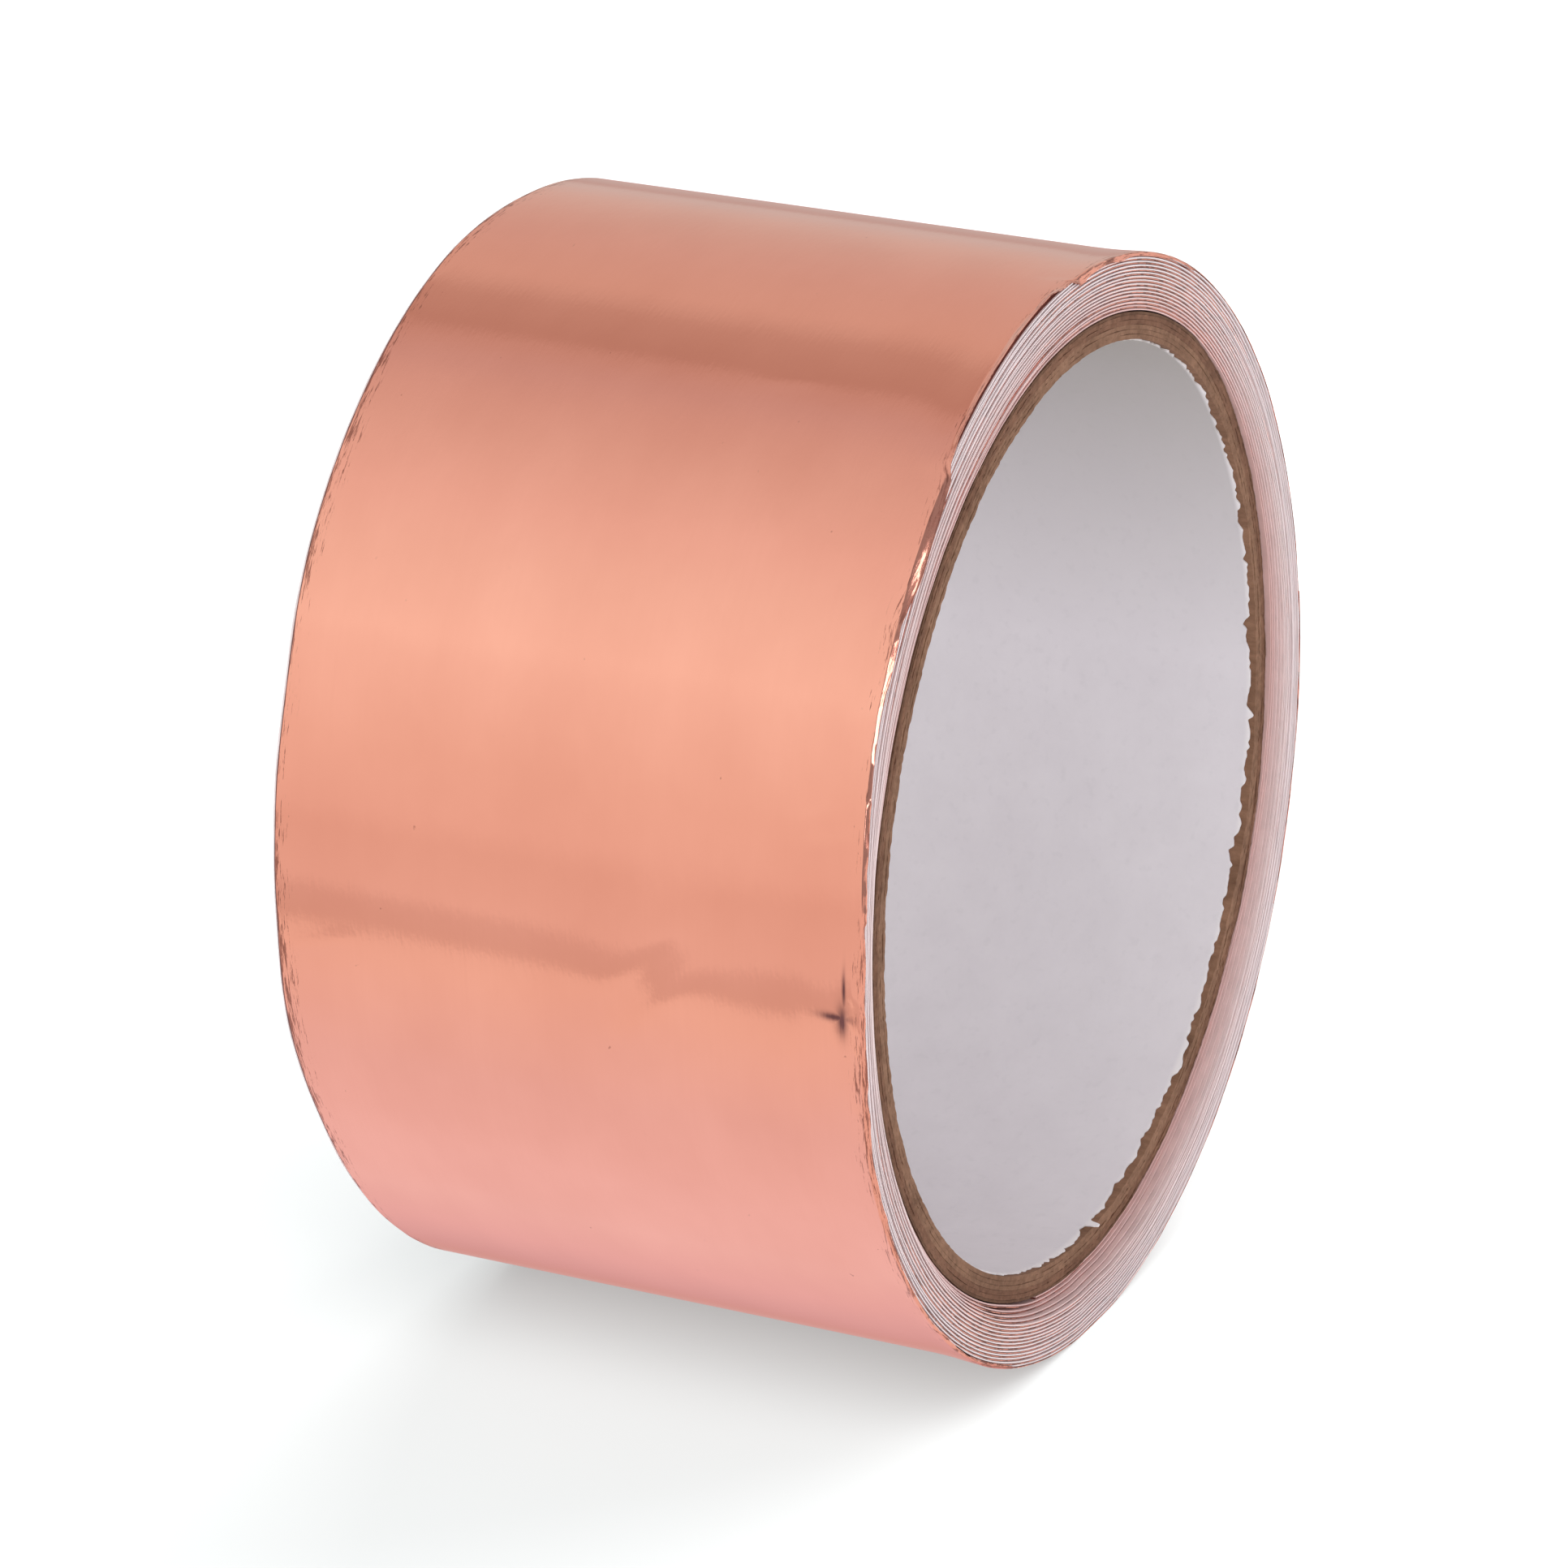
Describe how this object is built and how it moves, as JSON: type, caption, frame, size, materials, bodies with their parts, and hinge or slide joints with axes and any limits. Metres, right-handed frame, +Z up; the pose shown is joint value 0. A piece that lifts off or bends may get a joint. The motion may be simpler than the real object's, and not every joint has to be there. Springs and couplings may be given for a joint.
{
  "type": "copper foil tape roll",
  "caption": "Wide roll of adhesive-backed copper foil tape with a white release liner, wound on a spiral-wound kraft paper core, with a free end that lifts and peels.",
  "frame": {"origin": "centre of the core's bore, halfway along the core", "axes": "+Y along the roll's axis, +Z up with the roll standing on its rim, +X completes the frame; the free end of the tape lies near +X"},
  "size_m": [0.0907, 0.0511, 0.0904],
  "materials": {
    "bore_paper": "matt pale grey paper, slightly mottled",
    "kraft_board": "matt brown kraft board, cut edge fibrous",
    "dark_kraft": "matt dark brown kraft paper",
    "release_paper": "smooth white silicone-coated paper",
    "acrylic_adhesive": "clear tacky film",
    "copper_foil": "satin rolled copper with fine grain"
  },
  "bodies": {
    "roll": {"core_bore_liner": "bore_paper", "core_ply_1": "kraft_board", "core_ply_2": "kraft_board", "core_ply_3": "kraft_board", "core_ply_4": "kraft_board", "core_ply_5": "kraft_board", "core_outer_ply": "dark_kraft", "release_liner_roll": "release_paper", "adhesive_roll": "acrylic_adhesive", "foil_roll": "copper_foil"},
    "tail": {"release_liner_tail": "release_paper", "adhesive_tail": "acrylic_adhesive", "foil_tail": "copper_foil"},
    "flap": {"adhesive_flap": "acrylic_adhesive", "foil_flap": "copper_foil"}
  },
  "joints": [
    {"name": "tail_lift", "type": "hinge", "parent": "roll", "child": "tail", "pos_m": [0.0415, 0, -0.0184], "axis": [0, 1, 0], "range_deg": [0, 80]},
    {"name": "foil_peel", "type": "hinge", "parent": "tail", "child": "flap", "pos_m": [0.04408, 0, -0.01092], "axis": [0, 1, 0], "range_deg": [0, 75]}
  ]
}
